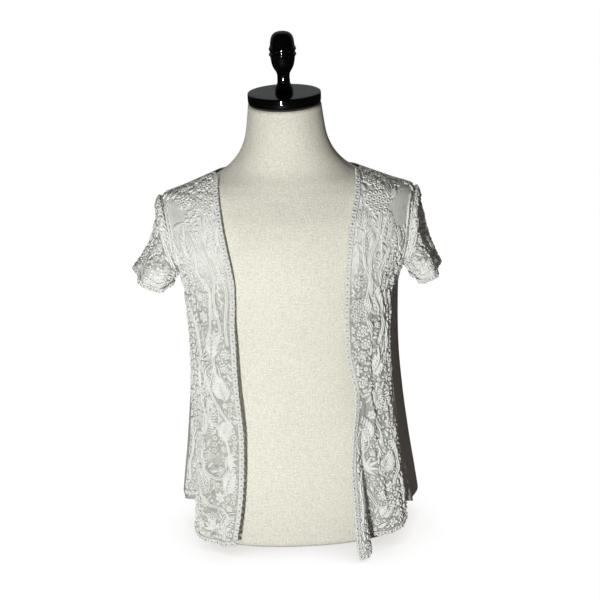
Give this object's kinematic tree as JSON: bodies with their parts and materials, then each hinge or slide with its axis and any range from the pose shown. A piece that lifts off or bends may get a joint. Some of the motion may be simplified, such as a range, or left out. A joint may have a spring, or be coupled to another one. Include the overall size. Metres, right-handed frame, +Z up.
{
  "type": "lace and knit shrug on a limbless dress form",
  "caption": "Open-front, short-sleeved, hip-length shrug with lace fronts and a plain knit back, worn by a limbless dress form with a neck cap and a turned finial.",
  "frame": {"origin": "centre of the dress form's flat bottom, on the form's axis", "axes": "+X towards the wearer's left, -Y towards the front, +Z up along the form's axis"},
  "size_m": [0.4601, 0.2936, 0.766],
  "materials": {
    "lace": "matte corded lace on a fine net",
    "ring_edging": "matte chain of small rings",
    "knit": "matte, fine plain knit",
    "linen": "matte woven cover over a padded body",
    "black_lacquer": "high gloss"
  },
  "bodies": {
    "root": {"back": "knit", "front_right": "lace", "front_left": "lace", "sleeve_right_front": "lace", "sleeve_right_back": "lace", "sleeve_left_front": "lace", "sleeve_left_back": "lace", "edging_right": "ring_edging", "edging_left": "ring_edging", "cuff_right": "ring_edging", "cuff_left": "ring_edging", "armhole_band_right": "lace", "armhole_band_left": "lace", "form_torso": "linen", "neck_cap": "black_lacquer", "finial": "black_lacquer"}
  },
  "joints": []
}
